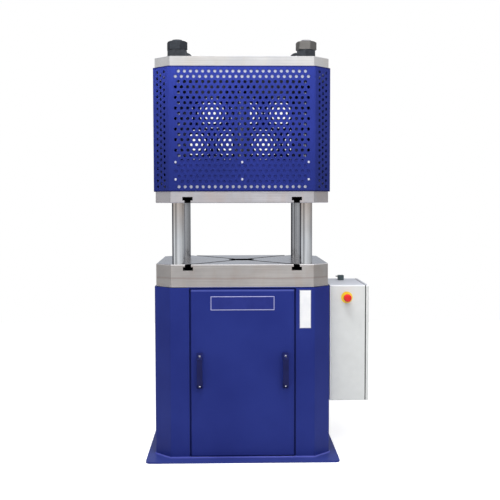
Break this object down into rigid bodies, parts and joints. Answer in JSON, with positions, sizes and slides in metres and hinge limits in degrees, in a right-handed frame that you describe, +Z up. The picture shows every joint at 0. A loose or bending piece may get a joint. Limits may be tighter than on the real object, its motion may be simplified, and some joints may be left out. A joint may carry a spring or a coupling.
{
  "type": "hydraulic press",
  "caption": "Upright hydraulic press on columns, with a slotted table, a sliding ram plate, a perforated guard, a base cabinet and a control enclosure.",
  "frame": {"origin": "middle of the base plate's underside, on the floor", "axes": "+Z up along the columns, -Y towards the operator's side with the lift-out panel, +X towards the control enclosure"},
  "size_m": [1.1401, 0.88, 2.094],
  "materials": {
    "blue_paint": "powder coated, fine texture",
    "ground_steel": "ground plate",
    "chrome": "hard chromed and polished",
    "black_steel": "black oxide",
    "zinc_steel": "zinc plated",
    "turned_steel": "turned",
    "bronze": "turned bronze",
    "seal_rubber": "moulded",
    "navy_plastic": "moulded",
    "bare_plate": "flat plate with a pale outline",
    "pale_plate": "flat film plate",
    "grey_paint": "fine textured powder coat",
    "galvanised": "galvanised sheet",
    "motor_paint": "painted casting",
    "cast_alloy": "cast",
    "device_plastic": "moulded",
    "yellow_plastic": "moulded",
    "red_plastic": "moulded",
    "black_plastic": "moulded"
  },
  "bodies": {
    "press_frame": {"base_plate": "blue_paint", "cabinet_shell": "blue_paint", "table_plate": "ground_steel", "column_front_left": "chrome", "column_front_right": "chrome", "column_rear_left": "chrome", "column_rear_right": "chrome", "top_plate": "ground_steel", "column_nuts": "black_steel", "lock_nuts": "black_steel", "lifting_eyes": "black_steel", "guard_front": "blue_paint", "guard_rear": "blue_paint", "guard_spacers": "zinc_steel", "guard_strip": "blue_paint", "guard_screws": "zinc_steel", "cylinder_barrel": "turned_steel", "cylinder_bolts": "black_steel", "cylinder_gland": "turned_steel", "hose_fittings": "zinc_steel", "side_plate": "pale_plate", "oil_tank": "motor_paint", "tank_lid": "motor_paint", "motor": "motor_paint", "fan_cowl": "motor_paint", "bell_housing": "cast_alloy", "gear_pump": "cast_alloy", "valve_block": "zinc_steel", "solenoid_valve": "black_plastic", "pressure_gauge": "turned_steel", "pressure_pipe": "zinc_steel", "enclosure_bracket": "blue_paint", "enclosure_body": "grey_paint", "door_seal": "seal_rubber", "mounting_plate": "galvanised", "switchgear": "device_plastic", "stop_ring": "yellow_plastic", "stop_collar": "black_plastic", "cable_socket": "black_plastic"},
    "ram": {"ram_plate": "ground_steel", "guide_bush_front_left": "bronze", "guide_bush_front_right": "bronze", "guide_bush_rear_left": "bronze", "guide_bush_rear_right": "bronze", "piston": "turned_steel", "piston_seal": "seal_rubber", "piston_rod": "chrome", "rod_flange": "turned_steel", "rod_flange_bolts": "black_steel"},
    "front_panel": {"front_panel": "blue_paint", "handles": "navy_plastic", "handle_screws": "black_steel", "sign_plate": "bare_plate"},
    "enclosure_door": {"enclosure_door": "grey_paint"},
    "door_lock_upper": {"door_lock_upper": "zinc_steel"},
    "door_lock_lower": {"door_lock_lower": "zinc_steel"},
    "stop_stem": {"stop_stem": "black_plastic"},
    "stop_button": {"stop_button": "red_plastic"},
    "socket_cap": {"socket_cap": "black_plastic"},
    "filler_cap": {"filler_cap": "black_plastic"}
  },
  "joints": [
    {"name": "ram_stroke", "type": "slide", "parent": "press_frame", "child": "ram", "axis": [0, 0, -1], "range_m": [0, 0.3]},
    {"name": "panel_pull", "type": "slide", "parent": "press_frame", "child": "front_panel", "axis": [0, -1, 0], "range_m": [0, 0.15]},
    {"name": "door_swing", "type": "hinge", "parent": "press_frame", "child": "enclosure_door", "pos_m": [0.6451, 0.177, 0.563], "axis": [0, 0, 1], "range_deg": [0, 125]},
    {"name": "upper_lock_turn", "type": "hinge", "parent": "enclosure_door", "child": "door_lock_upper", "pos_m": [0.6541, -0.204, 0.793], "axis": [1, 0, 0], "range_deg": [0, 90]},
    {"name": "lower_lock_turn", "type": "hinge", "parent": "enclosure_door", "child": "door_lock_lower", "pos_m": [0.6541, -0.204, 0.333], "axis": [1, 0, 0], "range_deg": [0, 90]},
    {"name": "stop_push", "type": "slide", "parent": "press_frame", "child": "stop_stem", "axis": [0, 1, 0], "range_m": [0, 0.004]},
    {"name": "stop_twist", "type": "hinge", "parent": "stop_stem", "child": "stop_button", "pos_m": [0.54, -0.26, 0.8005], "axis": [0, 1, 0], "range_deg": [0, 45]},
    {"name": "cap_lift", "type": "hinge", "parent": "press_frame", "child": "socket_cap", "pos_m": [0.547, 0.1, 0.8813], "axis": [-1, 0, 0], "range_deg": [0, 100], "stiffness_Nm_per_rad": 0.02, "springref_deg": -17.19},
    {"name": "filler_turn", "type": "hinge", "parent": "press_frame", "child": "filler_cap", "pos_m": [0.18, 0.17, 0.318], "axis": [0, 0, 1], "range_deg": [0, 90]}
  ]
}
